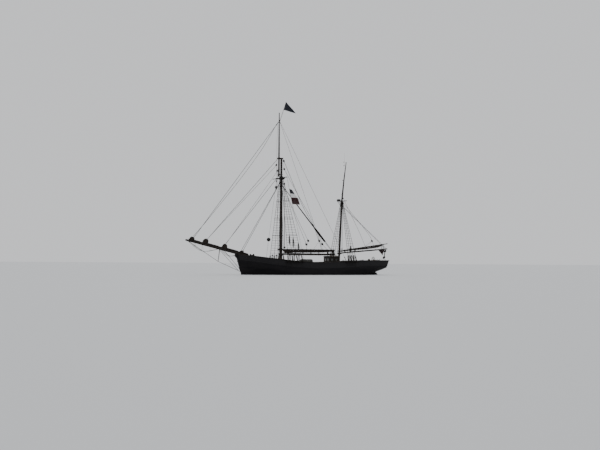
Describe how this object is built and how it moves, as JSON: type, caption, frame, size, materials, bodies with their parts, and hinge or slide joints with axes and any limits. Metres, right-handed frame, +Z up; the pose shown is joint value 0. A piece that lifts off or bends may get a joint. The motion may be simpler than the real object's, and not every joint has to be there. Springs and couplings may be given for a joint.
{
  "type": "sailing ketch",
  "caption": "Gaff ketch afloat with furled sails, long bowsprit, bulwarks, deckhouse, swinging booms, and a steering wheel geared to the rudder.",
  "frame": {"origin": "on the centreline amidships, at the waterline", "axes": "+X aft, +Y to starboard, +Z up; +X lies along the length from the bowsprit to the stern"},
  "size_m": [35.326, 6.8706, 30.0677],
  "materials": {
    "hull_paint": "black paint, satin",
    "bottom_paint": "antifouling, matte",
    "trim_paint": "dark paint, satin",
    "deck_wood": "scrubbed",
    "spar_wood": "oiled",
    "canvas": "matte",
    "tarred_rope": "matte",
    "ironwork": "satin",
    "bronze": "brushed",
    "white_shell": "gloss",
    "varnished_wood": "varnished",
    "flag_cloth": "matte",
    "black_ball": "matte"
  },
  "bodies": {
    "ship": {"hull": "hull_paint", "keel": "bottom_paint", "stem": "hull_paint", "deck": "deck_wood", "bulwark_port": "hull_paint", "bulwark_starboard": "hull_paint", "bulwark_stern": "hull_paint", "caprail": "trim_paint", "bowsprit": "spar_wood", "dolphin_striker": "ironwork", "main_lower_mast": "spar_wood", "main_topmast": "spar_wood", "main_crosstrees": "spar_wood", "flagstaff": "spar_wood", "pennant": "flag_cloth", "main_shrouds_port": "tarred_rope", "main_shrouds_starboard": "tarred_rope", "backstay_port": "tarred_rope", "backstay_starboard": "tarred_rope", "topmast_stay": "tarred_rope", "jib_stay": "tarred_rope", "inner_jib_stay": "tarred_rope", "forestay": "tarred_rope", "outer_jib_furled": "canvas", "jib_furled": "canvas", "inner_jib_furled": "canvas", "staysail_furled": "canvas", "mizzen_mast": "spar_wood", "mizzen_crosstrees": "spar_wood", "radar": "white_shell", "mizzen_shrouds_port": "tarred_rope", "mizzen_shrouds_starboard": "tarred_rope", "anchor_ball": "black_ball", "flag": "flag_cloth", "windlass_bitts": "trim_paint", "fore_scuttle": "varnished_wood", "cargo_hatch": "trim_paint", "life_rafts": "white_shell", "skylight": "varnished_wood", "deckhouse": "varnished_wood", "deckhouse_roof": "white_shell", "steering_stand": "varnished_wood"},
    "rudder": {"rudder": "bottom_paint"},
    "steering_wheel": {"steering_wheel": "varnished_wood"},
    "propeller": {"propeller": "bronze"},
    "windlass": {"windlass_barrel": "ironwork"},
    "main_boom": {"main_boom": "spar_wood", "main_gaff": "spar_wood", "mainsail_furled": "canvas", "main_topping_lifts": "tarred_rope"},
    "mizzen_boom": {"mizzen_boom": "spar_wood", "mizzen_gaff": "spar_wood", "mizzen_sail_furled": "canvas", "mizzen_topping_lifts": "tarred_rope", "ensign": "flag_cloth"},
    "deckhouse_door": {"deckhouse_door": "varnished_wood"},
    "scuttle_slide": {"fore_scuttle_slide": "varnished_wood"},
    "skylight_lid_port": {"skylight_lid_port": "varnished_wood"},
    "skylight_lid_starboard": {"skylight_lid_starboard": "varnished_wood"}
  },
  "joints": [
    {"name": "rudder_turn", "type": "hinge", "parent": "ship", "child": "rudder", "pos_m": [11.35477, 0, 0], "axis": [0.1059, 0, 0.9944], "range_deg": [-35, 35]},
    {"name": "wheel_turn", "type": "hinge", "parent": "ship", "child": "steering_wheel", "pos_m": [11.24, 0, 2.38], "axis": [1, 0, 0], "range_deg": [-720, 720]},
    {"name": "propeller_spin", "type": "hinge", "parent": "ship", "child": "propeller", "pos_m": [10.6, 0, -1.25], "axis": [1, 0, 0], "continuous": true},
    {"name": "windlass_spin", "type": "hinge", "parent": "ship", "child": "windlass", "pos_m": [-10.53, 0, 2.68], "axis": [0, 1, 0], "continuous": true},
    {"name": "main_boom_swing", "type": "hinge", "parent": "ship", "child": "main_boom", "pos_m": [-5.6, 0, 3.2], "axis": [0, 0, 1], "range_deg": [-48, 48]},
    {"name": "mizzen_boom_swing", "type": "hinge", "parent": "ship", "child": "mizzen_boom", "pos_m": [4.85467, 0, 3.45], "axis": [0.0533, 0, 0.9986], "range_deg": [-52, 52]},
    {"name": "deckhouse_door_hinge", "type": "hinge", "parent": "ship", "child": "deckhouse_door", "pos_m": [4.3453, -0.85, 2.07], "axis": [0, 0, -1], "range_deg": [0, 110]},
    {"name": "scuttle_slide_run", "type": "slide", "parent": "ship", "child": "scuttle_slide", "axis": [-1, 0, 0], "range_m": [0, 0.43]},
    {"name": "skylight_lid_port_hinge", "type": "hinge", "parent": "ship", "child": "skylight_lid_port", "pos_m": [0.82, -0.055, 1.7976], "axis": [-1, 0, 0], "range_deg": [0, 60]},
    {"name": "skylight_lid_starboard_hinge", "type": "hinge", "parent": "ship", "child": "skylight_lid_starboard", "pos_m": [0.82, 0.055, 1.7976], "axis": [1, 0, 0], "range_deg": [0, 60]}
  ],
  "couplings": [
    {"joint": "wheel_turn", "follows": "rudder_turn", "ratio": 20.5}
  ]
}
